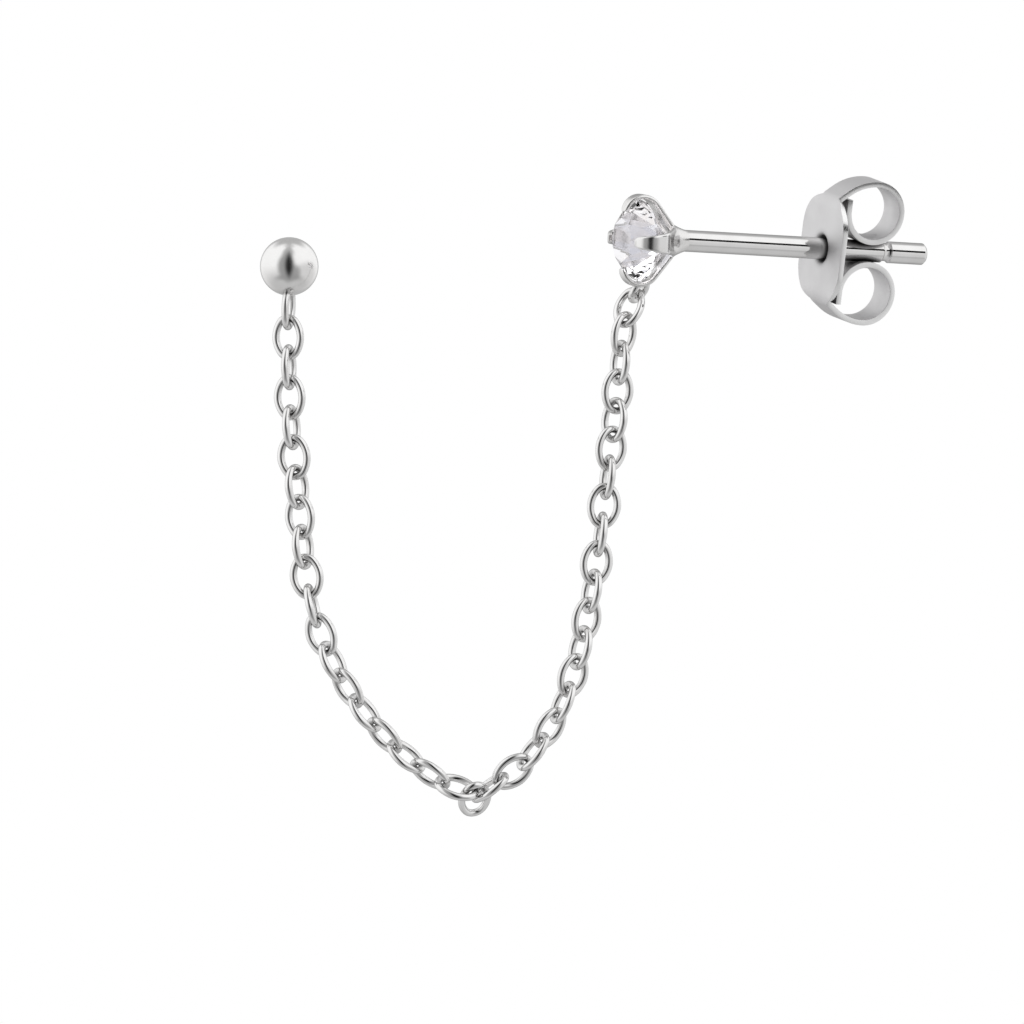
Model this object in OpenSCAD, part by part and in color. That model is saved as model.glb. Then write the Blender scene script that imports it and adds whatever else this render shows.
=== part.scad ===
// Chain earring worn through two piercings: a ball stud, a stone stud and one cable chain between them.
// The origin is on the stone stud's post, where it leaves the setting. +Z is up and the front faces -Y.

/* [Chain] */
// Thickness of the link wire
wire_d = 0.265; // [0.22:0.005:0.27]
// Radius of a link's two round ends, at the middle of the wire
link_end_r = 0.385; // [0.38:0.005:0.395]
// Radius of its two flatter sides, at the middle of the wire
link_side_r = 0.935; // [0.92:0.005:0.945]

/* [Ball stud] */
// Diameter of the ball
ball_d = 2.15; // [1.9:0.05:2.4]
// Place of the ball's middle, left of the origin
ball_x = -14.45; // [-14.6:0.05:-14.3]
// Place of the ball's middle, above the origin
ball_z = -0.95; // [-1.05:0.05:-0.8]

/* [Posts] */
// Diameter of both ear posts
post_d = 0.8; // [0.7:0.05:0.8]
// Length of the stone stud's post
post_l = 9.9; // [9.5:0.1:11.5]
// Length of the ball stud's post behind the ball
ball_post_l = 9; // [8:0.5:10]
// Turn of the stone stud's post away from the front
post_yaw = 26; // [24:1:28]
// Droop of the stone stud's post
post_drop = 2.7; // [2.3:0.1:3.5]

/* [Setting] */
// Diameter of the round stone
stone_d = 3; // [2.9:0.05:3]
// Height of the stone's girdle above the end of the post
girdle_z = 1.78; // [1.78:0.01:1.84]
// Thickness of a prong, in line with the stone's radius
prong_t = 0.17; // [0.15:0.01:0.19]
// Width of a prong where it leaves the cup
prong_base_w = 1; // [0.8:0.05:1.1]
// Width of a prong's tip
prong_tip_w = 0.4; // [0.3:0.05:0.5]
// Turn of the four prongs about the post
prong_turn = -5; // [-6:1:-4]
// Tilt of the whole setting down from the line of its post
head_tilt = 2.5; // [1.5:0.5:3]

/* [Butterfly back] */
// Width of the plate
plate_w = 3.4; // [3.2:0.05:3.6]
// Height of the plate between its two ears
plate_h = 3.9; // [3.8:0.05:4]
// Thickness of the sheet metal
sheet_t = 0.2; // [0.18:0.01:0.22]
// Width of the ears that roll up into the scrolls
ear_w = 1.34; // [1.2:0.02:1.5]
// Outer radius of a scroll
scroll_r = 1.18; // [1.12:0.01:1.22]
// Distance from the setting to the plate, along the post
back_s = 5.66; // [4.5:0.02:6.2]
// Turn of the butterfly back about the post
back_turn = -10; // [-20:1:0]

/* [Hidden] */
// Facets of a round face where it is drawn as a mesh
$fn = 72;
// Depth at which the chain hangs
hang_y = -0.66;
// Clearance between the stone and its prongs
seat_gap = 0.03;
// Clearance between the post and what slides on it
slide_gap = 0.03;

LINKS_LEFT = 18;
LINKS_RIGHT = 19;
LINK_COUNT = LINKS_LEFT + 1 + LINKS_RIGHT;

// Where the chain's left side hangs, from the ball down: [x, depth behind hang_y, z]
left_route = [
    [-14.5, 0, -3.0],
    [-14.4, 0, -6.45],
    [-14.1, 0, -9.65],
    [-13.75, 0, -12.75],
    [-13.1, 0, -14.95],
    [-12.0, 0, -16.9],
    [-10.5, 0, -18.65],
    [-8.8, 0, -19.9],
    [-7.8, -0.15, -20.25]
];
// Where its right side hangs, from the stone down: [x, depth behind hang_y, z]
right_route = [
    [-1.85, 0.45, -2.0],
    [-2.07, 0.02, -2.8],
    [-2.25, 0, -3.85],
    [-2.45, 0, -6.0],
    [-2.7, 0, -8.1],
    [-3.1, 0, -11.3],
    [-3.45, 0, -13.4],
    [-3.9, 0, -15.5],
    [-4.6, 0, -17.4],
    [-5.8, 0, -19.15],
    [-6.6, 0, -19.75],
    [-7.5, 0.35, -20.35]
];
// How far each link is turned from face-on, in the order of its route
left_turns = [25, -73, 25, -66, 16, -52, 33, -58, 12, -78, 30, -56, 52, -56, 55, -55, 56, -50];
right_turns = [36, -48, 62, -24, 46, -27, 72, -8, 77, -20, 62, -35, 56, -33, 63, -43, 61, -29, 70];

// The loose link that the two sides meet in: its middle, then its lean, tilt and turn
low_link_at = [-7.65, 0.26, -20.5];
low_link_lean = 92;
low_link_tilt = 45;
low_link_turn = -18;

// Upper end of the link soldered to the ball, whose lower end is the start of the left route
ball_ring_top = [-14.45, 0, -1.9];
ball_ring_turn = -76;
// Middle, lean and turn of the small round ring soldered under the setting
stone_ring_at = [-1.62, 0.42, -1.86];
stone_ring_lean = 125;
stone_ring_turn = -30;

post_r = post_d / 2;
wire_r = wire_d / 2;

// A link is an oval of four arcs whose middles lie on 3-4-5 triangles, so that each arc runs into the next
link_end_half = atan2(4, 3);
link_end_at = (link_side_r - link_end_r) * cos(link_end_half);
link_side_at = (link_side_r - link_end_r) * sin(link_end_half);

function with_depth(route) = [for (p = route) [p.x, p.y + hang_y, p.z]];

function spline_point(p, i, t) =
    let (
        before = i > 0 ? p[i - 1] : 2 * p[0] - p[1],
        after = i + 2 < len(p) ? p[i + 2] : 2 * p[i + 1] - p[i]
    )
    p[i]
    + t * (p[i + 1] - before) / 2
    + t * t * (2 * before - 5 * p[i] + 4 * p[i + 1] - after) / 2
    + t * t * t * (3 * p[i] - before - 3 * p[i + 1] + after) / 2;

function smooth_curve(p, steps = 12) = concat(
    [for (i = [0:len(p) - 2]) for (k = [0:steps - 1]) spline_point(p, i, k / steps)],
    [p[len(p) - 1]]);

function running_length(c) =
    [for (i = 0, s = 0; i < len(c); s = s + (i + 1 < len(c) ? norm(c[i + 1] - c[i]) : 0), i = i + 1) s];

// The point at a distance along a curve, whose running length is s
function point_at(c, s, distance) =
    [for (axis = [0:2]) lookup(distance, [for (k = [0:len(c) - 1]) [s[k], c[k][axis]]])];

// Points at equal distances along a route, one more than its links
function hinges(route, links) =
    let (
        c = smooth_curve(with_depth(route)),
        s = running_length(c),
        step = s[len(s) - 1] / links
    )
    [for (i = [0:links]) point_at(c, s, i * step)];

left_hinges = hinges(left_route, LINKS_LEFT);
right_hinges = hinges(right_route, LINKS_RIGHT);

function link_name(k) = str("link_", k < 10 ? "0" : "", k);

// A piece of round wire bent to a radius, in the XZ plane from one angle on
module wire_arc(radius, start, sweep) {
    rotate([90, 0, 0])
        rotate_extrude(angle = sweep, start = start)
            translate([radius, 0]) circle(r = wire_r);
}

// One link at the origin, its length along X, face-on from the front
module link() {
    for (side = [0, 180]) rotate([0, side, 0]) {
        translate([link_end_at, 0, 0])
            for (start = [-link_end_half, 0]) wire_arc(link_end_r, start, link_end_half);
        translate([0, 0, -link_side_at])
            wire_arc(link_side_r, link_end_half, 180 - 2 * link_end_half);
    }
}

// A link laid between two hinge points and turned about the line between them
module link_between(start, end, turn) {
    run = end - start;
    translate((start + end) / 2)
        rotate([0, atan2(-run.z, run.x), 0])
            rotate([turn, 0, asin(run.y / norm(run))])
                link();
}

module low_link() {
    translate(low_link_at + [0, hang_y, 0])
        rotate([0, low_link_lean, 0])
            rotate([low_link_turn, 0, low_link_tilt])
                link();
}

// Links are numbered along the chain, from the ball to the stone
module chain_link(k) {
    color("gainsboro") {
        if (k <= LINKS_LEFT) {
            link_between(left_hinges[k - 1], left_hinges[k], left_turns[k - 1]);
        } else if (k == LINKS_LEFT + 1) {
            low_link();
        } else {
            from_stone = LINK_COUNT - k;
            link_between(right_hinges[from_stone], right_hinges[from_stone + 1], right_turns[from_stone]);
        }
    }
}

module ball_stud() {
    color("silver") {
        translate([ball_x, hang_y, ball_z]) {
            sphere(d = ball_d);
            rotate([-90, 0, 0]) post(ball_d / 2 + ball_post_l);
        }
        link_between(ball_ring_top + [0, hang_y, 0], left_hinges[0], ball_ring_turn);
    }
}

// Free end of a post: its bevel, and the groove that a back snaps into
post_bevel = 0.08;
groove_from_end = 1.65;
groove_r = 0.25;
groove_depth = 0.07;

// A post along Z with its free end at the top
module post(length) {
    difference() {
        union() {
            cylinder(h = length - post_bevel, d = post_d);
            translate([0, 0, length - post_bevel])
                cylinder(h = post_bevel, r1 = post_r, r2 = post_r - post_bevel);
        }
        translate([0, 0, length - groove_from_end])
            rotate_extrude()
                translate([post_r + groove_r - groove_depth, 0]) circle(r = groove_r);
    }
}

// The stone stud's own frame: +Z runs from the post to the face of the stone, +X is up
module in_stud_frame() {
    rotate([0, post_drop - 90, post_yaw]) children();
}

// The setting's own frame, tilted from the line of the post
module in_head_frame() {
    in_stud_frame() rotate([0, -head_tilt, 0]) children();
}

// Setting: a cup on the end of the post, cut into four arches, and four prongs
stone_r = stone_d / 2;
cup_neck = [0.68, 0.55]; // radius and height where the cup opens out
cup_rim = [1.03, 0.93]; // radius and height of its rim
cup_floor_z = 0.36;
cup_wall = 0.22;
arch_r = 0.42;
arch_z = 1.1;
// A prong leans out from the cup, bends upright at the girdle and folds over it
prong_slope = atan2(4, 3);
prong_bend_r = 0.66;
prong_tip_end = 82;
prong_foot_l = 1;
prong_x = stone_r + seat_gap + prong_t / 2 - prong_bend_r;
// It is a flat band that narrows evenly between these two heights
prong_base_z = 0.7;
prong_tip_z = girdle_z + prong_bend_r + prong_t;

module cup() {
    difference() {
        union() {
            cylinder(h = cup_neck[1], r1 = post_r, r2 = cup_neck[0]);
            translate([0, 0, cup_neck[1]])
                cylinder(h = cup_rim[1] - cup_neck[1], r1 = cup_neck[0], r2 = cup_rim[0]);
        }
        translate([0, 0, cup_floor_z])
            cylinder(h = cup_rim[1] - cup_floor_z + seat_gap, r1 = seat_gap, r2 = cup_rim[0] - cup_wall);
        for (quarter = [0:3]) rotate([0, 0, 45 + 90 * quarter])
            translate([0, 0, arch_z]) rotate([0, 90, 0])
                cylinder(h = 2 * cup_rim[0], r = arch_r);
    }
}

// The band that a prong is cut from, as wide as its base
module prong_band() {
    translate([prong_x, 0, girdle_z]) {
        rotate([90, 0, 0])
            rotate_extrude(angle = prong_slope + prong_tip_end, start = -prong_slope)
                translate([prong_bend_r - prong_t / 2, -prong_base_w / 2]) square([prong_t, prong_base_w]);
        rotate([0, prong_slope, 0]) translate([prong_bend_r - prong_t / 2, -prong_base_w / 2, -prong_foot_l])
            cube([prong_t, prong_base_w, prong_foot_l]);
    }
}

module prong() {
    narrowing = (prong_base_w - prong_tip_w) / (prong_tip_z - prong_base_z) / 2;
    foot_half = prong_base_w / 2 + narrowing * prong_base_z;
    intersection() {
        prong_band();
        rotate([90, 0, 90]) linear_extrude(2 * stone_r)
            polygon([[-foot_half, 0], [foot_half, 0],
                [prong_tip_w / 2, prong_tip_z], [-prong_tip_w / 2, prong_tip_z]]);
    }
}

// Small round ring that the chain hangs from, soldered on the outside of the lower prong
module stone_ring() {
    translate(stone_ring_at + [0, hang_y, 0]) rotate([0, stone_ring_lean, stone_ring_turn])
        rotate_extrude() translate([link_end_r, 0]) circle(r = wire_r);
}

module stone_stud() {
    color("silver") {
        in_stud_frame() rotate([180, 0, 0]) post(post_l);
        in_head_frame() rotate([0, 0, prong_turn]) {
            cup();
            for (quarter = [0:3]) rotate([0, 0, 90 * quarter]) prong();
        }
        stone_ring();
    }
}

// Round brilliant cut: heights and radii as shares of its diameter
girdle_t = 0.02 * stone_d;
crown_h = 0.233 * stone_d;
pavilion_h = 0.43 * stone_d;
table_r = 0.273 * stone_d;
star_r = 0.395 * stone_d;
lower_r = 0.12 * stone_d;
CUTS = 8;
crown_fall = crown_h / (stone_r - table_r);
pavilion_rise = pavilion_h / stone_r;

function ring_points(r, z, count, first) =
    [for (i = [0:count - 1]) [r * cos(first + i * 360 / count), r * sin(first + i * 360 / count), z]];

module stone() {
    half_cut = 180 / CUTS;
    star_z = girdle_t / 2 + crown_h - (star_r * cos(half_cut) - table_r) * crown_fall;
    lower_z = -girdle_t / 2 - pavilion_h + lower_r * cos(half_cut) * pavilion_rise;
    points = concat(
        ring_points(table_r, girdle_t / 2 + crown_h, CUTS, 0),
        ring_points(star_r, star_z, CUTS, half_cut),
        ring_points(stone_r, girdle_t / 2, 2 * CUTS, 0),
        ring_points(stone_r, -girdle_t / 2, 2 * CUTS, 0),
        ring_points(lower_r, lower_z, CUTS, half_cut),
        [[0, 0, -girdle_t / 2 - pavilion_h]]);
    table = 0;
    star = CUTS;
    top = 2 * CUTS;
    bottom = 4 * CUTS;
    lower = 6 * CUTS;
    culet = 7 * CUTS;
    faces = concat(
        [[for (i = [CUTS - 1:-1:0]) table + i]],
        [for (i = [0:CUTS - 1]) let (j = (i + 1) % CUTS, g = 2 * i, h = (2 * i + 2) % (2 * CUTS)) each [
            [table + i, table + j, star + i],
            [table + j, top + h, star + i],
            [table + i, star + i, top + g],
            [star + i, top + g + 1, top + g],
            [star + i, top + h, top + g + 1],
            [top + g, top + g + 1, bottom + g + 1, bottom + g],
            [top + g + 1, top + h, bottom + h, bottom + g + 1],
            [bottom + g, bottom + g + 1, lower + i],
            [bottom + g + 1, bottom + h, lower + i],
            [bottom + g, lower + i, culet],
            [bottom + h, culet, lower + i]
        ]]);
    color("lightcyan") in_head_frame()
        translate([0, 0, girdle_z]) polyhedron(points, faces);
}

// Butterfly back: a plate whose hole is pressed back into a funnel, and two ears that curve back from its
// ends and roll up into scrolls. Each scroll has a groove for the post that it grips.
plate_corner_r = 1.3;
hole_r = post_r + slide_gap;
mouth_r = 0.7;
mouth_depth = 0.36;
mouth_wall = 0.12;
scroll_gap = 0.36;
scroll_groove = 0.11;
scroll_x = hole_r + scroll_r - scroll_groove;
scroll_s = sheet_t + scroll_gap + scroll_r;
scroll_mid_r = scroll_r - sheet_t / 2;
scroll_end_l = 0.45;
// Side view of an ear at the middle of its sheet: bent off the plate, straight, then in a wide rise up to
// the top of the scroll: [up, back]
ear_turn = atan2(4, 3);
bend_r = 0.6;
rise_r = 1.9;
rise_top = scroll_x + scroll_mid_r;
rise_start = [rise_top - rise_r * (1 - sin(ear_turn)), scroll_s - rise_r * cos(ear_turn)];
straight_l = (rise_start[1] - sheet_t / 2 - bend_r * (1 - cos(ear_turn))) / sin(ear_turn);
bend_x = rise_start[0] - straight_l * cos(ear_turn) - bend_r * sin(ear_turn);
ear_lap = 0.02;

// A strip of the ear bent to a radius, with its axis across the back
module strip_arc(radius, start, sweep) {
    rotate([90, 0, 0])
        rotate_extrude(angle = sweep, start = start)
            translate([radius - sheet_t / 2, -ear_w / 2]) square([sheet_t, ear_w]);
}

// A flat strip of the ear, from the origin along X
module strip(length) {
    translate([0, -ear_w / 2, -sheet_t / 2]) cube([length, ear_w, sheet_t]);
}

module ear() {
    translate([0, 0, -sheet_t / 2]) strip(bend_x);
    translate([bend_x, 0, -sheet_t / 2 - bend_r]) {
        strip_arc(bend_r, 90 - ear_turn, ear_turn);
        rotate([0, ear_turn, 0]) translate([0, 0, bend_r]) strip(straight_l);
    }
    translate([rise_top - rise_r, 0, -scroll_s]) strip_arc(rise_r, 0, 90 - ear_turn);
    translate([scroll_x, 0, -scroll_s]) {
        strip_arc(scroll_mid_r, -270, 270);
        translate([0, 0, scroll_mid_r]) strip(scroll_end_l);
    }
}

// The plate is open where the ears bend out of it, so that only its corners stay flat beside them
module plate() {
    translate([0, 0, -sheet_t]) linear_extrude(sheet_t) difference() {
        union() {
            square([plate_h - 2 * plate_corner_r, plate_w], center = true);
            square([plate_h, plate_w - 2 * plate_corner_r], center = true);
            for (up = [-1, 1], side = [-1, 1])
                translate([up * (plate_h / 2 - plate_corner_r), side * (plate_w / 2 - plate_corner_r)])
                    circle(r = plate_corner_r);
        }
        for (up = [-1, 1]) translate([up * (bend_x + plate_h / 2), 0])
            square([plate_h, ear_w - 2 * ear_lap], center = true);
    }
    translate([0, 0, -mouth_depth])
        cylinder(h = mouth_depth - sheet_t / 2, r1 = hole_r + mouth_wall, r2 = mouth_r + mouth_wall);
}

// The way of the post through the back, wider at the mouth of the hole
module post_way() {
    way_end = scroll_s + scroll_r + slide_gap;
    rotate_extrude()
        polygon([[0, -way_end], [hole_r, -way_end], [hole_r, -mouth_depth],
            [mouth_r, 0], [mouth_r, sheet_t], [0, sheet_t]]);
}

module butterfly_back() {
    color("lightgray") in_stud_frame()
        translate([0, 0, -back_s]) rotate([0, 0, back_turn]) difference() {
            union() {
                plate();
                ear();
                mirror([1, 0, 0]) ear();
            }
            post_way();
        }
}

ball_stud();
stone_stud();
stone();
butterfly_back();
for (k = [1:LINK_COUNT])
    chain_link(k);
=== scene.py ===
import math

import bmesh
import bpy
import numpy as np
from mathutils import Matrix, Vector


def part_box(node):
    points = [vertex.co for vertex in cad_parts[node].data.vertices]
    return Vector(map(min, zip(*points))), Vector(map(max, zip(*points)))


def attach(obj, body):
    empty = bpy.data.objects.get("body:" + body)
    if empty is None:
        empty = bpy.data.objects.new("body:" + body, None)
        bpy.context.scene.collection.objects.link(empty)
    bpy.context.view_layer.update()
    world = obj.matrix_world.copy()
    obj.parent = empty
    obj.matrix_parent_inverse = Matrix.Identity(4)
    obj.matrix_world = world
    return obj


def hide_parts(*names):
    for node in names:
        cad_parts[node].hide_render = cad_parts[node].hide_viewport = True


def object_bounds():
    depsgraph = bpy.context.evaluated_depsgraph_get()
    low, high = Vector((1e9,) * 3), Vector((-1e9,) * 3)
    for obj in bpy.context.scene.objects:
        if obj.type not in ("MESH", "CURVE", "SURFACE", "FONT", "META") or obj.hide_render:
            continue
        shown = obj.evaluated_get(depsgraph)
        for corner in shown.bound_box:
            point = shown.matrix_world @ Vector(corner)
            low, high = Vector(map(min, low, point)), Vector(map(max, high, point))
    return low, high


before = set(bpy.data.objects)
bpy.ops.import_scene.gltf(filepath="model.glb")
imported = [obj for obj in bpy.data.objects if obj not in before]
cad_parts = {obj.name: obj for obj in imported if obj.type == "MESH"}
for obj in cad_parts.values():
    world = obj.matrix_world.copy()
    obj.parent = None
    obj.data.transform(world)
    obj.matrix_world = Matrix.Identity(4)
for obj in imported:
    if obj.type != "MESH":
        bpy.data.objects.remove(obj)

cad_low, cad_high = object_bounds()

# The studio. The earring hangs in front of white, seen square-on through a long lens, and a pale
# floor lies well below it. A light tent stands all round, open towards the camera, and its dark gap
# is what draws the thin dark lines in the polished silver.
MM = 0.001
PICTURE_WIDTH = 37.58 * MM
PICTURE_MIDDLE = Vector((-6.275, -0.66, -9.963)) * MM
LENS_DISTANCE = 1300 * MM
SENSOR_WIDTH = 36
NEAREST_SEEN = 10 * MM
FARTHEST_SEEN = 10

camera_data = bpy.data.cameras.new("camera")
camera_data.sensor_width = SENSOR_WIDTH
camera_data.lens = SENSOR_WIDTH * LENS_DISTANCE / PICTURE_WIDTH
camera_data.clip_start = NEAREST_SEEN
camera_data.clip_end = FARTHEST_SEEN
camera = bpy.data.objects.new("camera", camera_data)
camera.location = PICTURE_MIDDLE + Vector((0, -LENS_DISTANCE, 0))
camera.rotation_euler = (math.radians(90), 0, 0)
bpy.context.collection.objects.link(camera)
bpy.context.scene.camera = camera
bpy.context.scene.view_settings.view_transform = "Standard"

# What the tent shows from the earring: soft oval patches, each laid over the ones before it. Azimuth 0
# is towards the camera and grows to the right, the angles are in degrees, ALL_ROUND is no limit, and
# the softness is the share of its size over which a patch fades:
# (brightness, middle azimuth, half width, middle elevation, half height, softness)
TENT_WHITE = 0.98
ALL_ROUND = 9999
TENT_PATCHES = [
    (0.55, 0, ALL_ROUND, -90, 68, 0.44),
    (0.57, 0, ALL_ROUND, 90, 12, 0.67),
    (0.48, 180, 26, 0, ALL_ROUND, 0.46),
    (0.48, 180, 60, 60, 20, 0.4),
    (0.70, 70, 50, -15, 26, 0.5),
    (0.48, -5, 36, 66, 30, 0.4),
    (0.36, 12, 36, -28, 34, 0.35),
    (0.33, -12, 34, -2, 62, 0.35),
    (0.32, -2, 62, -42, 11, 0.6),
    (0.07, -1, 16, 6, 50, 0.45),
    (0.01, -1, 9, 4, 32, 0.5),
]

tent = bpy.data.worlds.new("light_tent")
tent.use_nodes = True
tent_nodes, tent_links = tent.node_tree.nodes, tent.node_tree.links
tent_nodes.clear()


def tent_math(operation, *inputs):
    node = tent_nodes.new("ShaderNodeMath")
    node.operation = operation
    for socket, value in zip(node.inputs, inputs):
        if isinstance(value, (int, float)):
            socket.default_value = value
        else:
            tent_links.new(value, socket)
    return node.outputs[0]


sight = tent_nodes.new("ShaderNodeSeparateXYZ")
tent_links.new(tent_nodes.new("ShaderNodeTexCoord").outputs["Generated"], sight.inputs[0])
towards_camera = tent_math("MULTIPLY", sight.outputs["Y"], -1)
azimuth = tent_math("DEGREES", tent_math("ARCTAN2", sight.outputs["X"], towards_camera))
elevation = tent_math("DEGREES", tent_math("ARCSINE", sight.outputs["Z"]))
brightness = TENT_WHITE
for shade, middle_azimuth, half_width, middle_elevation, half_height, softness in TENT_PATCHES:
    aside = tent_math("WRAP", tent_math("SUBTRACT", azimuth, middle_azimuth), 180, -180)
    above = tent_math("SUBTRACT", elevation, middle_elevation)
    across = tent_math("POWER", tent_math("DIVIDE", aside, half_width), 2)
    upright = tent_math("POWER", tent_math("DIVIDE", above, half_height), 2)
    fade = tent_nodes.new("ShaderNodeMapRange")
    fade.interpolation_type = "SMOOTHSTEP"
    fade.inputs["From Min"].default_value = 1 + softness
    fade.inputs["From Max"].default_value = 1 - softness
    tent_links.new(tent_math("SQRT", tent_math("ADD", across, upright)), fade.inputs["Value"])
    mask = fade.outputs["Result"]
    drop = tent_math("MULTIPLY", mask, tent_math("SUBTRACT", brightness, shade))
    brightness = tent_math("SUBTRACT", brightness, drop)

tent_light = tent_nodes.new("ShaderNodeBackground")
tent_links.new(brightness, tent_light.inputs["Color"])
paper = tent_nodes.new("ShaderNodeBackground")
paper.inputs["Color"].default_value = (1, 1, 1, 1)
# The camera sees white paper, and the stone lets through a brighter tent than the silver mirrors
PAPER_THROUGH_STONE = 0.85
ray = tent_nodes.new("ShaderNodeLightPath")
through_stone = tent_math("MULTIPLY", ray.outputs["Is Transmission Ray"], PAPER_THROUGH_STONE)
shown = tent_nodes.new("ShaderNodeMixShader")
tent_links.new(tent_math("MAXIMUM", ray.outputs["Is Camera Ray"], through_stone), shown.inputs[0])
tent_links.new(tent_light.outputs[0], shown.inputs[1])
tent_links.new(paper.outputs[0], shown.inputs[2])
tent_links.new(shown.outputs[0], tent_nodes.new("ShaderNodeOutputWorld").inputs[0])
bpy.context.scene.world = tent

# The floor, a round sheet of pale paper well below the earring. It is kept out of the silver's mirrors
# and out of the stone, where the tent stands instead.
FLOOR_RADIUS = 0.95
FLOOR_DROP = 30 * MM
FLOOR_FACETS = 96
FLOOR_TONE = (0.93, 0.93, 0.93, 1)
FLOOR_ROUGHNESS = 0.9
floor_mesh = bpy.data.meshes.new("floor")
shape = bmesh.new()
bmesh.ops.create_circle(shape, cap_ends=True, segments=FLOOR_FACETS, radius=FLOOR_RADIUS)
shape.to_mesh(floor_mesh)
shape.free()
floor = bpy.data.objects.new("floor", floor_mesh)
floor.location = (0, 0, cad_low.z - FLOOR_DROP)
floor.visible_glossy = False
floor.visible_transmission = False
floor_paint = bpy.data.materials.new("floor_paper")
floor_paint.use_nodes = True
floor_look = floor_paint.node_tree.nodes["Principled BSDF"]
floor_look.inputs["Base Color"].default_value = FLOOR_TONE
floor_look.inputs["Roughness"].default_value = FLOOR_ROUGHNESS
floor_mesh.materials.append(floor_paint)
bpy.context.collection.objects.link(floor)

# The lamp, a soft square box that hangs high over the earring and lights the floor evenly. The silver
# doesn't mirror it either.
LAMP_SIZE = 0.6
LAMP_HEIGHT = 0.5
LAMP_WATTS = 1.6
lamp_data = bpy.data.lights.new("soft_lamp", "AREA")
lamp_data.size = LAMP_SIZE
lamp_data.energy = LAMP_WATTS
lamp = bpy.data.objects.new("soft_lamp", lamp_data)
lamp.location = (0, 0, LAMP_HEIGHT)
lamp.visible_glossy = False
bpy.context.collection.objects.link(lamp)

# The chain. Each link is a short length of round silver wire, bent to an oval, threaded through its
# neighbour and soldered shut in the middle of one side. The links hang as their solids do, so each
# is drawn about the middle and along the axes of its own solid.
LINK_WIRE_RADIUS = 0.1325
LINK_END_RADIUS = 0.385
LINK_SIDE_RADIUS = 0.935
LINK_END_HALF = math.atan2(4, 3)
LINK_ARC_STEPS = 14
WIRE_FACETS = 20
SOLDER_SWELL = 0.05
SOLDER_LENGTH = 0.16
SILVER_TONE = (0.93, 0.925, 0.92, 1)

# Handled silver: cloudy smears that dull it a little and tint it with faint tarnish, painted shade that
# darkens it in narrow gaps, and fine wheel marks. Its inputs and their usual values: (name, kind, value)
HANDLED_AND_SHADED_INPUTS = [
    ("Tone", "Color", SILVER_TONE),
    ("Tarnish", "Color", (0.80, 0.785, 0.77, 1)),
    ("Roughness", "Float", 0.1),
    ("Smear", "Float", 0.06),
    ("Smears per Metre", "Float", 900),
    ("Marks per Metre", "Float", 9000),
    ("Gap Width", "Float", 0.3 * MM),
    ("Painted Gap Shade", "Float", 0.5),
]
SMEAR_DETAIL = 4
SMEAR_STARTS = 0.35
SMEAR_FULL = 0.7
TARNISH_SHARE = 0.45
GAP_SAMPLES = 8
GAP_CLOSED = 0.3
MARK_DETAIL = 2
handled_and_shaded = bpy.data.node_groups.new("handled_and_gap_shaded_silver", "ShaderNodeTree")
for name, kind, value in HANDLED_AND_SHADED_INPUTS:
    made = handled_and_shaded.interface.new_socket(name=name, in_out="INPUT", socket_type="NodeSocket" + kind)
    made.default_value = value
for name, kind in (("Color", "Color"), ("Roughness", "Float"), ("Height", "Float")):
    handled_and_shaded.interface.new_socket(name=name, in_out="OUTPUT", socket_type="NodeSocket" + kind)
inside, wires = handled_and_shaded.nodes, handled_and_shaded.links
given = inside.new("NodeGroupInput")
result = inside.new("NodeGroupOutput")
place = inside.new("ShaderNodeTexCoord").outputs["Object"]
smears = inside.new("ShaderNodeTexNoise")
smears.inputs["Detail"].default_value = SMEAR_DETAIL
wires.new(place, smears.inputs["Vector"])
wires.new(given.outputs["Smears per Metre"], smears.inputs["Scale"])
cloud = inside.new("ShaderNodeMapRange")
cloud.inputs["From Min"].default_value = SMEAR_STARTS
cloud.inputs["From Max"].default_value = SMEAR_FULL
wires.new(smears.outputs["Fac"], cloud.inputs["Value"])
dulling = inside.new("ShaderNodeMath")
dulling.operation = "MULTIPLY_ADD"
wires.new(cloud.outputs["Result"], dulling.inputs[0])
wires.new(given.outputs["Smear"], dulling.inputs[1])
wires.new(given.outputs["Roughness"], dulling.inputs[2])
wires.new(dulling.outputs[0], result.inputs["Roughness"])
tint = inside.new("ShaderNodeMix")
tint.data_type = "RGBA"
thin = inside.new("ShaderNodeMath")
thin.operation = "MULTIPLY"
thin.inputs[1].default_value = TARNISH_SHARE
wires.new(cloud.outputs["Result"], thin.inputs[0])
wires.new(thin.outputs[0], tint.inputs["Factor"])
wires.new(given.outputs["Tone"], tint.inputs["A"])
wires.new(given.outputs["Tarnish"], tint.inputs["B"])
# Painted shade: ambient occlusion darkens the colour in narrow gaps, where shade falls, down to the darkest
# tone given for gaps
gaps = inside.new("ShaderNodeAmbientOcclusion")
gaps.samples = GAP_SAMPLES
wires.new(given.outputs["Gap Width"], gaps.inputs["Distance"])
painted_gap_shade = inside.new("ShaderNodeMapRange")
painted_gap_shade.inputs["From Min"].default_value = GAP_CLOSED
wires.new(gaps.outputs["AO"], painted_gap_shade.inputs["Value"])
wires.new(given.outputs["Painted Gap Shade"], painted_gap_shade.inputs["To Min"])
tarnished_and_shaded = inside.new("ShaderNodeMix")
tarnished_and_shaded.data_type = "RGBA"
tarnished_and_shaded.blend_type = "MULTIPLY"
tarnished_and_shaded.inputs["Factor"].default_value = 1
wires.new(tint.outputs["Result"], tarnished_and_shaded.inputs["A"])
wires.new(painted_gap_shade.outputs["Result"], tarnished_and_shaded.inputs["B"])
wires.new(tarnished_and_shaded.outputs["Result"], result.inputs["Color"])
marks = inside.new("ShaderNodeTexNoise")
marks.inputs["Detail"].default_value = MARK_DETAIL
wires.new(place, marks.inputs["Vector"])
wires.new(given.outputs["Marks per Metre"], marks.inputs["Scale"])
wires.new(marks.outputs["Fac"], result.inputs["Height"])


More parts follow.
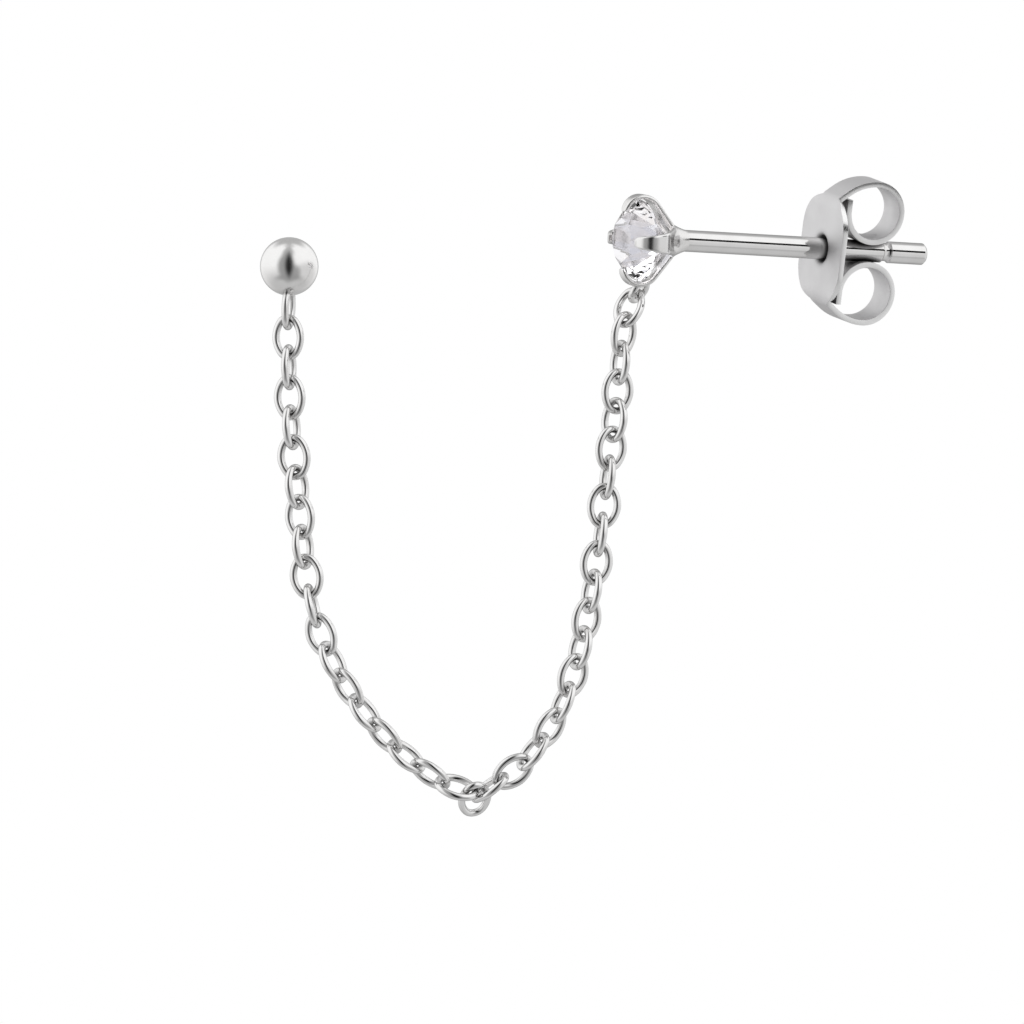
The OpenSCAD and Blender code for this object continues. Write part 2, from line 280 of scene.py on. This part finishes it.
def silver(name, mark_depth, edge_tone, settings):
    """Silver whose grazing edges mirror with a tone; its settings are inputs of the handled silver and its
    painted gap shade
    """
    material = bpy.data.materials.new(name)
    material.use_nodes = True
    nodes, links = material.node_tree.nodes, material.node_tree.links
    look = nodes["Principled BSDF"]
    look.inputs["Metallic"].default_value = 1
    look.inputs["Specular Tint"].default_value = (edge_tone, edge_tone, edge_tone, 1)
    surface = nodes.new("ShaderNodeGroup")
    surface.node_tree = handled_and_shaded
    for key, value in settings.items():
        surface.inputs[key].default_value = value
    bump = nodes.new("ShaderNodeBump")
    bump.inputs["Distance"].default_value = mark_depth
    links.new(surface.outputs["Color"], look.inputs["Base Color"])
    links.new(surface.outputs["Roughness"], look.inputs["Roughness"])
    links.new(surface.outputs["Height"], bump.inputs["Height"])
    links.new(bump.outputs["Normal"], look.inputs["Normal"])
    return material


def loop(middle, first, second, first_radius, second_radius, count):
    """Points round a middle, on a circle or an oval in the plane of two directions"""
    points = []
    for k in range(count):
        turn = 2 * math.pi * k / count
        along_first, along_second = first_radius * math.cos(turn), second_radius * math.sin(turn)
        points.append(middle + first * along_first + second * along_second)
    return points


def skin(shape, loops, closed):
    """Faces between each loop of points and the next, with the ends capped unless the row closes"""
    rows = [[shape.verts.new(point) for point in points] for points in loops]
    pairs = list(zip(rows, rows[1:]))
    if closed:
        pairs.append((rows[-1], rows[0]))
    for low, high in pairs:
        for k in range(len(low)):
            after = (k + 1) % len(low)
            shape.faces.new((low[k], low[after], high[after], high[k]))
    if not closed:
        shape.faces.new(rows[0][::-1])
        shape.faces.new(rows[-1])


def finished_mesh(name, shape, placing):
    """A smooth mesh from a shape in millimetres, laid at its place in the frame"""
    bmesh.ops.recalc_face_normals(shape, faces=shape.faces)
    mesh = bpy.data.meshes.new(name)
    shape.to_mesh(mesh)
    shape.free()
    mesh.transform(Matrix.Scale(MM, 4) @ placing)
    mesh.shade_smooth()
    return mesh


def put(name, mesh, material=None):
    """A mesh as an object of the scene"""
    if material:
        mesh.materials.append(material)
    piece = bpy.data.objects.new(name, mesh)
    bpy.context.collection.objects.link(piece)
    return piece


def link_shape():
    """One link about the origin, its length along X and face-on from the front, in millimetres"""
    shape = bmesh.new()
    reach = LINK_SIDE_RADIUS - LINK_END_RADIUS
    end_at, side_at = reach * math.cos(LINK_END_HALF), reach * math.sin(LINK_END_HALF)
    side_half = math.pi / 2 - LINK_END_HALF
    arcs = [
        (Vector((end_at, 0, 0)), LINK_END_RADIUS, 0, LINK_END_HALF),
        (Vector((0, 0, -side_at)), LINK_SIDE_RADIUS, math.pi / 2, side_half),
        (Vector((-end_at, 0, 0)), LINK_END_RADIUS, math.pi, LINK_END_HALF),
        (Vector((0, 0, side_at)), LINK_SIDE_RADIUS, 3 * math.pi / 2, side_half),
    ]
    loops = []
    for middle, radius, facing, half in arcs:
        for k in range(LINK_ARC_STEPS):
            turn = facing + half * (2 * k / LINK_ARC_STEPS - 1)
            outward = Vector((math.cos(turn), 0, math.sin(turn)))
            at = middle + outward * radius
            from_joint = (at - Vector((0, 0, LINK_SIDE_RADIUS - side_at))).length
            wire = LINK_WIRE_RADIUS * (1 + SOLDER_SWELL * math.exp(-(from_joint / SOLDER_LENGTH) ** 2))
            loops.append(loop(at, outward, Vector((0, 1, 0)), wire, wire, WIRE_FACETS))
    skin(shape, loops, closed=True)
    return shape


def lie_of(node, onward):
    """Where the solid of a link lies in millimetres, its length running onward along the chain"""
    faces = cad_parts[node].data.polygons
    middles = np.empty(len(faces) * 3)
    areas = np.empty(len(faces))
    faces.foreach_get("center", middles)
    faces.foreach_get("area", areas)
    middles = middles.reshape(-1, 3) / MM
    middle = np.average(middles, axis=0, weights=areas)
    spread = ((middles - middle).T * areas) @ (middles - middle)
    thin, broad, long = (Vector(axis) for axis in np.linalg.eigh(spread)[1].T)
    if long.dot(onward) < 0:
        long = -long
    if thin.y > 0:
        thin = -thin
    broad = long.cross(thin)
    turned = Matrix((long, thin, broad)).transposed().to_4x4()
    return Matrix.Translation(middle) @ turned


LINK_NAMES = sorted(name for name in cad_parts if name.startswith("link_"))
# The wire keeps the usual painted shade in its narrow gaps, where the links cross
WIRE_LOOK = {"Tone": (0.95, 0.947, 0.945, 1), "Roughness": 0.05, "Smear": 0.04}
WIRE_EDGE_TONE = 0.5
WIRE_MARK_DEPTH = 0.0006 * MM
wire_silver = silver("drawn_silver_wire", WIRE_MARK_DEPTH, WIRE_EDGE_TONE, WIRE_LOOK)
for place_in_chain, link_name in enumerate(LINK_NAMES):
    box_middle = sum(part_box(link_name), Vector()) / 2
    next_name = LINK_NAMES[min(place_in_chain + 1, len(LINK_NAMES) - 1)]
    onward = sum(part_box(next_name), Vector()) / 2 - box_middle
    link_mesh = finished_mesh(link_name + "_wire", link_shape(), lie_of(link_name, onward))
    chain_link = put(link_name + "_wire", link_mesh, wire_silver)
    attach(chain_link, "earring")
    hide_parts(link_name)

# The ball stud. A solid silver ball, polished all round, sits on a straight post of drawn wire, and
# a closed link of the chain's own wire is soldered under it.
BALL_RADIUS = 1.075
BALL_LONGITUDES = 96
BALL_LATITUDES = 48
BALL_LOOK = {"Roughness": 0.17, "Smear": 0.05}
BALL_EDGE_TONE = 1
BALL_MARK_DEPTH = 0.0008 * MM
BALL_MIDDLE = Vector((-14.45, -0.66, -0.95))
BALL_POST_LENGTH = 9
BALL_RING_TOP = Vector((-14.45, -0.66, -1.9))
BALL_RING_FOOT = Vector((-14.5, -0.66, -3.0))
BALL_RING_TURN = -76
POST_RADIUS = 0.4
POST_BEVEL = 0.08
POST_BEVEL_ROUNDING = 0.02
POST_SHARP_ANGLE = 30
GROOVE_FROM_END = 1.65
GROOVE_RADIUS = 0.25
GROOVE_DEPTH = 0.07
GROOVE_STEPS = 9
ROUND_STEPS = 72


def lathe(shape, outline):
    """A closed body turned from an outline of (radius, height) points, which starts and ends on the axis"""
    up, right, back = Vector((0, 0, 1)), Vector((1, 0, 0)), Vector((0, 1, 0))
    rings = [loop(up * height, right, back, radius, radius, ROUND_STEPS) for radius, height in outline[1:-1]]
    skin(shape, rings, closed=False)


def post_outline(length):
    """A post from 0 up to its free end, with the groove that a back snaps into and a bevelled tip"""
    groove_at = length - GROOVE_FROM_END
    sunk = POST_RADIUS + GROOVE_RADIUS - GROOVE_DEPTH
    half = math.acos((sunk - POST_RADIUS) / GROOVE_RADIUS)
    groove = [
        (sunk - GROOVE_RADIUS * math.cos(turn), groove_at + GROOVE_RADIUS * math.sin(turn))
        for turn in np.linspace(-half, half, GROOVE_STEPS)
    ]
    edge = POST_BEVEL_ROUNDING
    bevel_from = length - POST_BEVEL
    return [
        (0, 0), (POST_RADIUS, 0), *groove,
        (POST_RADIUS, bevel_from - 3 * edge), (POST_RADIUS, bevel_from - edge),
        (POST_RADIUS - edge / 2, bevel_from), (POST_RADIUS - POST_BEVEL, length - edge / 2),
        (POST_RADIUS - POST_BEVEL - edge, length), (0, length),
    ]


def post_mesh(name, length, placing):
    """A post with its flat ends and the edges of its groove kept crisp"""
    shape = bmesh.new()
    lathe(shape, post_outline(length))
    mesh = finished_mesh(name, shape, placing)
    mesh.set_sharp_from_angle(angle=math.radians(POST_SHARP_ANGLE))
    return mesh


def laid_between(top, foot, turn):
    """The place of a link between two hinge points, turned about the line between them"""
    run = foot - top
    heading = Matrix.Rotation(math.atan2(-run.z, run.x), 4, "Y")
    leaning = Matrix.Rotation(math.asin(run.y / run.length), 4, "Z")
    rolling = Matrix.Rotation(math.radians(turn), 4, "X")
    return Matrix.Translation((top + foot) / 2) @ heading @ leaning @ rolling


ball_silver = silver("polished_silver_ball", BALL_MARK_DEPTH, BALL_EDGE_TONE, BALL_LOOK)
ball_shape = bmesh.new()
bmesh.ops.create_uvsphere(
    ball_shape, u_segments=BALL_LONGITUDES, v_segments=BALL_LATITUDES, radius=BALL_RADIUS)
ball = put("ball", finished_mesh("ball", ball_shape, Matrix.Translation(BALL_MIDDLE)), ball_silver)
backward = Matrix.Rotation(math.radians(-90), 4, "X")
ball_post_mesh = post_mesh(
    "ball_post", BALL_RADIUS + BALL_POST_LENGTH, Matrix.Translation(BALL_MIDDLE) @ backward)
ball_post = put("ball_post", ball_post_mesh, wire_silver)
ball_ring_place = laid_between(BALL_RING_TOP, BALL_RING_FOOT, BALL_RING_TURN)
ball_ring = put("ball_ring", finished_mesh("ball_ring", link_shape(), ball_ring_place), wire_silver)
for piece in (ball, ball_post, ball_ring):
    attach(piece, "earring")
    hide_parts("ball_stud")

# The stone stud. Its setting is cast in one: a cup cut away in four arches and four flat prongs that
# narrow to their tips and bend over the stone's edge. A straight post is soldered into its neck, and
# the small round ring that the chain hangs from is soldered on the outside of the lower prong.
POST_LENGTH = 9.9
POST_YAW = 26
POST_DROP = 2.7
HEAD_TILT = 2.5
# Half the cup's section, up its outside and down its inside: (radius, height)
CUP_OUTLINE = [
    (0, -0.1), (0.4, -0.1), (0.41, -0.02), (0.45, 0.1), (0.51, 0.25), (0.58, 0.4), (0.68, 0.55),
    (1.03, 0.93), (0.81, 0.94), (0.03, 0.36), (0, 0.36),
]
ARCH_RADIUS = 0.42
ARCH_HEIGHT = 1.1
ARCH_OUT = 1.2
ARCH_DEPTH = 1.9
ARCH_FACETS = 48
PRONG_THICKNESS = 0.17
# The width of a prong low and high: (height, width)
PRONG_WIDTHS = [(0.7, 1.0), (2.61, 0.4)]
PRONG_TURN = -5
PRONG_SLOPE = math.degrees(math.atan2(4, 3))
PRONG_BEND_RADIUS = 0.66
PRONG_TIP_END = 82
PRONG_TIP_ROUNDING = 26
PRONG_TIP_NARROWING = 0.9
PRONG_FOOT = 1.0
PRONG_REACH = 0.955
PRONG_FOOT_STEPS = 8
PRONG_BEND_STEPS = 40
PRONG_EDGE_STEPS = 8
GIRDLE_HEIGHT = 1.78
SETTING_VOXEL = 0.02
SETTING_SOFTNESS = 0.5
SETTING_SOFTENINGS = 6
# The setting takes only a little painted shade in its narrow gaps
SETTING_LOOK = {"Roughness": 0.14, "Smear": 0.08, "Painted Gap Shade": 0.9}
SETTING_EDGE_TONE = 0.7
SETTING_MARK_DEPTH = 0.0006 * MM
STONE_RING_MIDDLE = Vector((-1.62, -0.24, -1.86))
STONE_RING_LEAN = 125
STONE_RING_TURN = -30
RING_STEPS = 48

stud_frame = (
    Matrix.Rotation(math.radians(POST_YAW), 4, "Z") @ Matrix.Rotation(math.radians(POST_DROP - 90), 4, "Y"))
head_frame = stud_frame @ Matrix.Rotation(math.radians(-HEAD_TILT), 4, "Y")


def prong_loops():
    """Sections of one prong from its foot in the cup to its tip, in the plane of X and Z"""
    middle = Vector((PRONG_REACH, 0, GIRDLE_HEIGHT))
    start = math.radians(-PRONG_SLOPE)
    foot_way = Vector((-math.cos(start + math.pi / 2), 0, -math.sin(start + math.pi / 2)))
    outward = Vector((math.cos(start), 0, math.sin(start)))
    bend_start = middle + outward * PRONG_BEND_RADIUS
    stations = []
    for k in range(PRONG_FOOT_STEPS):
        stations.append((bend_start + foot_way * PRONG_FOOT * (1 - k / PRONG_FOOT_STEPS), outward, 1))
    for turn in np.linspace(start, math.radians(PRONG_TIP_END), PRONG_BEND_STEPS):
        outward = Vector((math.cos(turn), 0, math.sin(turn)))
        beyond = max(0, 1 - (PRONG_TIP_END - math.degrees(turn)) / PRONG_TIP_ROUNDING)
        size = math.sqrt(1 - PRONG_TIP_NARROWING * beyond ** 2)
        stations.append((middle + outward * PRONG_BEND_RADIUS, outward, size))
    (low, low_width), (high, high_width) = PRONG_WIDTHS
    loops = []
    for at, outward, size in stations:
        width = low_width + (high_width - low_width) * (at.z - low) / (high - low)
        half_edge = (width - PRONG_THICKNESS) / 2 * size
        section = []
        for side, first_turn in ((1, 0), (-1, math.pi)):
            for k in range(PRONG_EDGE_STEPS + 1):
                turn = first_turn + math.pi * k / PRONG_EDGE_STEPS
                rounding = outward * math.cos(turn) + Vector((0, 1, 0)) * math.sin(turn)
                section.append(at + Vector((0, side * half_edge, 0)) + rounding * (PRONG_THICKNESS / 2))
        loops.append(section)
    return loops


def ring_loops():
    """The small ring about the origin, its axis along Z"""
    loops = []
    for k in range(RING_STEPS):
        turn = 2 * math.pi * k / RING_STEPS
        outward = Vector((math.cos(turn), math.sin(turn), 0))
        at = outward * LINK_END_RADIUS
        loops.append(loop(at, outward, Vector((0, 0, 1)), LINK_WIRE_RADIUS, LINK_WIRE_RADIUS, WIRE_FACETS))
    return loops


def scratch_object(name, shape):
    """A shape as an object that modifiers can work on"""
    bmesh.ops.recalc_face_normals(shape, faces=shape.faces)
    mesh = bpy.data.meshes.new(name)
    shape.to_mesh(mesh)
    shape.free()
    made = bpy.data.objects.new(name, mesh)
    bpy.context.collection.objects.link(made)
    return made


def worked_mesh(name, made):
    """The mesh that an object's modifiers leave, with the object itself cleared away"""
    mesh = bpy.data.meshes.new_from_object(made.evaluated_get(bpy.context.evaluated_depsgraph_get()))
    mesh.name = name
    bpy.data.objects.remove(made)
    return mesh


cup_shape = bmesh.new()
lathe(cup_shape, CUP_OUTLINE)
cup = scratch_object("cup", cup_shape)
arch_shape = bmesh.new()
level = Matrix.Rotation(math.radians(90), 4, "Y")
for quarter in range(4):
    about = Matrix.Rotation(math.radians(45 + 90 * quarter), 4, "Z")
    place_of_arch = about @ Matrix.Translation((ARCH_OUT, 0, ARCH_HEIGHT)) @ level
    bmesh.ops.create_cone(
        arch_shape, cap_ends=True, segments=ARCH_FACETS, radius1=ARCH_RADIUS, radius2=ARCH_RADIUS,
        depth=ARCH_DEPTH, matrix=place_of_arch)
arches = scratch_object("arches", arch_shape)
cutting = cup.modifiers.new("arches", "BOOLEAN")
cutting.operation = "DIFFERENCE"
cutting.solver = "EXACT"
cutting.use_self = True
cutting.object = arches
cut_cup = worked_mesh("cut_cup", cup)
bpy.data.objects.remove(arches)

setting_shape = bmesh.new()
setting_shape.from_mesh(cut_cup)
for quarter in range(4):
    turned = Matrix.Rotation(math.radians(90 * quarter), 4, "Z")
    skin(setting_shape, [[turned @ point for point in points] for points in prong_loops()], closed=False)
prong_turning = Matrix.Rotation(math.radians(PRONG_TURN), 4, "Z")
setting_shape.transform(head_frame @ prong_turning)
ring_place = (
    Matrix.Translation(STONE_RING_MIDDLE) @ Matrix.Rotation(math.radians(STONE_RING_TURN), 4, "Z")
    @ Matrix.Rotation(math.radians(STONE_RING_LEAN), 4, "Y"))
skin(setting_shape, [[ring_place @ point for point in points] for points in ring_loops()], closed=True)
setting_rough = scratch_object("setting_rough", setting_shape)
fusing = setting_rough.modifiers.new("fused", "REMESH")
fusing.mode = "VOXEL"
fusing.voxel_size = SETTING_VOXEL
softening = setting_rough.modifiers.new("softened", "SMOOTH")
softening.factor = SETTING_SOFTNESS
softening.iterations = SETTING_SOFTENINGS
setting_mesh = worked_mesh("setting", setting_rough)
setting_mesh.transform(Matrix.Scale(MM, 4))
setting_mesh.shade_smooth()

setting_silver = silver("polished_silver_setting", SETTING_MARK_DEPTH, SETTING_EDGE_TONE, SETTING_LOOK)
setting = put("setting", setting_mesh, setting_silver)
turned_back = Matrix.Rotation(math.radians(180), 4, "X")
stone_post = put("stone_post", post_mesh("stone_post", POST_LENGTH, stud_frame @ turned_back), wire_silver)
for piece in (setting, stone_post):
    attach(piece, "earring")
    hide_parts("stone_stud")

# The flag, a narrow strip of black card on a stand of the studio, out of the camera's sight. It lies
# along the stone stud's post, which mirrors it as its one dark line.
FLAG_WIDTH = 2.0
FLAG_LENGTH = 12
FLAG_AWAY = 6
FLAG_ALONG = 8
FLAG_RAISED = 18
FLAG_TONE = (0.01, 0.01, 0.01, 1)
flag_shape = bmesh.new()
bmesh.ops.create_grid(flag_shape, x_segments=1, y_segments=1, size=0.5)
upright_flag = Matrix.Rotation(math.radians(90), 4, "X") @ Matrix.Diagonal((FLAG_WIDTH, FLAG_LENGTH, 1, 1))
flag_place = (
    stud_frame @ Matrix.Rotation(math.radians(FLAG_RAISED), 4, "Z")
    @ Matrix.Translation((0, -FLAG_AWAY, -FLAG_ALONG)) @ upright_flag)
flag_paint = bpy.data.materials.new("black_flag")
flag_paint.use_nodes = True
flag_look = flag_paint.node_tree.nodes["Principled BSDF"]
flag_look.inputs["Base Color"].default_value = FLAG_TONE
flag_look.inputs["Specular IOR Level"].default_value = 0
flag = put("flag", finished_mesh("flag", flag_shape, flag_place), flag_paint)
flag.visible_camera = False
flag.visible_diffuse = False
flag.visible_transmission = False
flag.visible_shadow = False

# The stone. A round brilliant of clear cubic zirconia, cut with a table, a crown and a pavilion of
# flat facets, and held by the prongs alone. Its solid is cut the same way, so it is only polished.
STONE_IOR = 1.52
PAINTED_FIRE_SCALE = 5
# Painted fire: faint colours laid on the facets by their facing, standing in for the coloured glints that
# dispersion throws: (place on the ramp, colour)
LILAC = (0.35, (0.90, 0.92, 1.0, 1))
CLEAR = (0.5, (0.99, 0.98, 1.0, 1))
ROSE = (0.68, (1.0, 0.94, 0.91, 1))
stone_glass = bpy.data.materials.new("clear_stone")
stone_glass.use_nodes = True
stone_nodes, stone_links = stone_glass.node_tree.nodes, stone_glass.node_tree.links
stone_look = stone_nodes["Principled BSDF"]
stone_look.inputs["Transmission Weight"].default_value = 1
stone_look.inputs["IOR"].default_value = STONE_IOR
stone_look.inputs["Roughness"].default_value = 0
# Painted glints: the facets take faint lilac and rose by the way they face, in place of the stone's coloured
# fire
facing = stone_nodes.new("ShaderNodeTexCoord")
painted_fire_noise = stone_nodes.new("ShaderNodeTexNoise")
painted_fire_noise.inputs["Scale"].default_value = PAINTED_FIRE_SCALE
stone_links.new(facing.outputs["Normal"], painted_fire_noise.inputs["Vector"])
painted_fire_ramp = stone_nodes.new("ShaderNodeValToRGB")
ramp = painted_fire_ramp.color_ramp.elements
ramp[0].position, ramp[0].color = LILAC
ramp[1].position, ramp[1].color = ROSE
ramp.new(CLEAR[0]).color = CLEAR[1]
stone_links.new(painted_fire_noise.outputs["Fac"], painted_fire_ramp.inputs["Fac"])
stone_links.new(painted_fire_ramp.outputs["Color"], stone_look.inputs["Base Color"])
stone_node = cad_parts["stone"]
stone_node.data.materials.clear()
stone_node.data.materials.append(stone_glass)

# The butterfly back. It is stamped from thin silver sheet and left satin: a plate whose hole is drawn
# back into a funnel, and two ears that are cut free of its corners, bent back and rolled up into
# scrolls. The scrolls grip the post as springs, in a groove pressed into each.
PLATE_WIDTH = 3.4
PLATE_HEIGHT = 3.9
PLATE_CORNER = 1.3
SHEET = 0.2
SHEET_EDGE = 0.05
SHEET_EDGE_STEPS = 3
SHEET_EDGE_ANGLE = 50
EAR_WIDTH = 1.34
EAR_COLUMNS = 18
EAR_TURN = math.atan2(4, 3)
EAR_BEND = 0.6
EAR_RISE = 1.9
EAR_BEND_STEPS = 12
EAR_RISE_STEPS = 14
SCROLL_STEPS = 64
CORNER_STEPS = 12
SCROLL_RADIUS = 1.18
SCROLL_GAP = 0.36
SCROLL_GROOVE = 0.11
FREE_END = 0.45
BACK_AT = 5.66
BACK_TURN = -10
POST_CLEARANCE = 0.03
HOLE_RADIUS = POST_RADIUS + POST_CLEARANCE
# The middle of the sheet from the plate back into the funnel: (radius, depth)
FUNNEL = [
    (0.66, 0.1), (0.63, 0.103), (0.605, 0.115), (0.585, 0.14), (0.565, 0.2), (0.545, 0.3), (0.53, 0.4),
]

roll_radius = SCROLL_RADIUS - SHEET / 2
roll_up = HOLE_RADIUS + SCROLL_RADIUS - SCROLL_GROOVE
roll_back = SHEET + SCROLL_GAP + SCROLL_RADIUS
rise_up = roll_up + roll_radius - EAR_RISE
bends_back = EAR_RISE * math.cos(EAR_TURN) + EAR_BEND * (1 - math.cos(EAR_TURN))
straight = (roll_back - SHEET / 2 - bends_back) / math.sin(EAR_TURN)
ear_root = rise_up + (EAR_RISE - EAR_BEND) * math.sin(EAR_TURN) - straight * math.cos(EAR_TURN)


def bent(up, back, radius, start, end, steps):
    """An arc in an ear's side view about a middle, between two headings, as (up, back)"""
    turns = np.linspace(start, end, steps)
    return [(up + radius * math.sin(turn), back - radius * math.cos(turn)) for turn in turns]


ear_line = bent(ear_root, SHEET / 2 + EAR_BEND, EAR_BEND, 0, EAR_TURN, EAR_BEND_STEPS)
ear_line += bent(rise_up, roll_back, EAR_RISE, EAR_TURN, math.pi / 2, EAR_RISE_STEPS)
ear_line += bent(roll_up, roll_back, roll_radius, math.pi / 2, 2 * math.pi, SCROLL_STEPS)[1:]
ear_line.append((roll_up + FREE_END, roll_back - roll_radius))


def half_width(height):
    """Half the width of the flat blank at a height: the rounded plate, then an ear"""
    past_corner = height - (PLATE_HEIGHT / 2 - PLATE_CORNER)
    if past_corner > PLATE_CORNER:
        return EAR_WIDTH / 2
    plate = PLATE_WIDTH / 2 - PLATE_CORNER + math.sqrt(PLATE_CORNER ** 2 - past_corner ** 2)
    return max(plate, EAR_WIDTH / 2)


sheet_shape = bmesh.new()
roots = {}
for side in (1, -1):
    rows = []
    height = ear_root
    before = ear_line[0]
    for up, back in ear_line:
        height += math.dist(before, (up, back))
        before = (up, back)
        row = []
        for y in np.linspace(-half_width(height), half_width(height), EAR_COLUMNS + 1):
            kept_off = math.sqrt(max((HOLE_RADIUS + SHEET / 2) ** 2 - y * y, 0))
            row.append(sheet_shape.verts.new((side * max(up, kept_off), y, -back)))
        rows.append(row)
    for near, far in zip(rows, rows[1:]):
        for k in range(EAR_COLUMNS):
            sheet_shape.faces.new((near[k], near[k + 1], far[k + 1], far[k]))
    roots[side] = rows[0]

corner_start = math.acos((ear_root - PLATE_HEIGHT / 2 + PLATE_CORNER) / PLATE_CORNER)
corner_turns = np.linspace(corner_start, math.pi / 2, CORNER_STEPS)[1:]
plate_rim = []
for side in (1, -1):
    plate_rim += roots[side][::side]
    for first, turns in ((side, corner_turns), (-side, corner_turns[::-1])):
        for turn in turns:
            up = PLATE_HEIGHT / 2 - PLATE_CORNER + PLATE_CORNER * math.cos(turn)
            aside = PLATE_WIDTH / 2 - PLATE_CORNER + PLATE_CORNER * math.sin(turn)
            plate_rim.append(sheet_shape.verts.new((first * up, side * aside, -SHEET / 2)))
funnel_rings = []
for radius, back in FUNNEL:
    ring = loop(Vector((0, 0, -back)), Vector((1, 0, 0)), Vector((0, 1, 0)), radius, radius, ROUND_STEPS)
    funnel_rings.append([sheet_shape.verts.new(point) for point in ring])
for wide, narrow in zip(funnel_rings, funnel_rings[1:]):
    for k in range(ROUND_STEPS):
        after = (k + 1) % ROUND_STEPS
        sheet_shape.faces.new((wide[k], wide[after], narrow[after], narrow[k]))
plate_edges = []
for outline in (plate_rim, funnel_rings[0]):
    for k, corner in enumerate(outline):
        following = outline[(k + 1) % len(outline)]
        edge = sheet_shape.edges.get((corner, following)) or sheet_shape.edges.new((corner, following))
        plate_edges.append(edge)
bmesh.ops.triangle_fill(sheet_shape, use_beauty=True, edges=plate_edges)
back_turn = Matrix.Rotation(math.radians(BACK_TURN), 4, "Z")
back_place = stud_frame @ Matrix.Translation((0, 0, -BACK_AT)) @ back_turn
sheet_shape.transform(Matrix.Scale(MM, 4) @ back_place)
sheet = scratch_object("sheet", sheet_shape)
sheet.data.shade_smooth()
# The satin sheet takes the deepest painted shade in its narrow gaps
SATIN_LOOK = {
    "Tone": (0.775, 0.77, 0.775, 1), "Tarnish": (0.73, 0.72, 0.73, 1), "Roughness": 0.5, "Smear": 0.08,
    "Gap Width": 0.4 * MM, "Painted Gap Shade": 0.25,
}
CUT_EDGE_LOOK = {"Tone": (1, 1, 1, 1), "Tarnish": SILVER_TONE, "Roughness": 0.25, "Smear": 0.1}
SHEET_EDGE_TONE = 1
SHEET_MARK_DEPTH = 0.0012 * MM
for name, look in (("satin_silver_sheet", SATIN_LOOK), ("cut_edge_of_sheet", CUT_EDGE_LOOK)):
    sheet.data.materials.append(silver(name, SHEET_MARK_DEPTH, SHEET_EDGE_TONE, look))
thickening = sheet.modifiers.new("thickness", "SOLIDIFY")
thickening.thickness = SHEET * MM
thickening.offset = 0
thickening.use_even_offset = True
thickening.material_offset_rim = 1
rounding_off = sheet.modifiers.new("edges", "BEVEL")
rounding_off.width = SHEET_EDGE * MM
rounding_off.segments = SHEET_EDGE_STEPS
rounding_off.limit_method = "ANGLE"
rounding_off.angle_limit = math.radians(SHEET_EDGE_ANGLE)
sheet.modifiers.new("flats", "WEIGHTED_NORMAL")
back_mesh = worked_mesh("butterfly_back_sheet", sheet)

butterfly = put("butterfly_back_sheet", back_mesh)
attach(butterfly, "back")
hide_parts("butterfly_back")
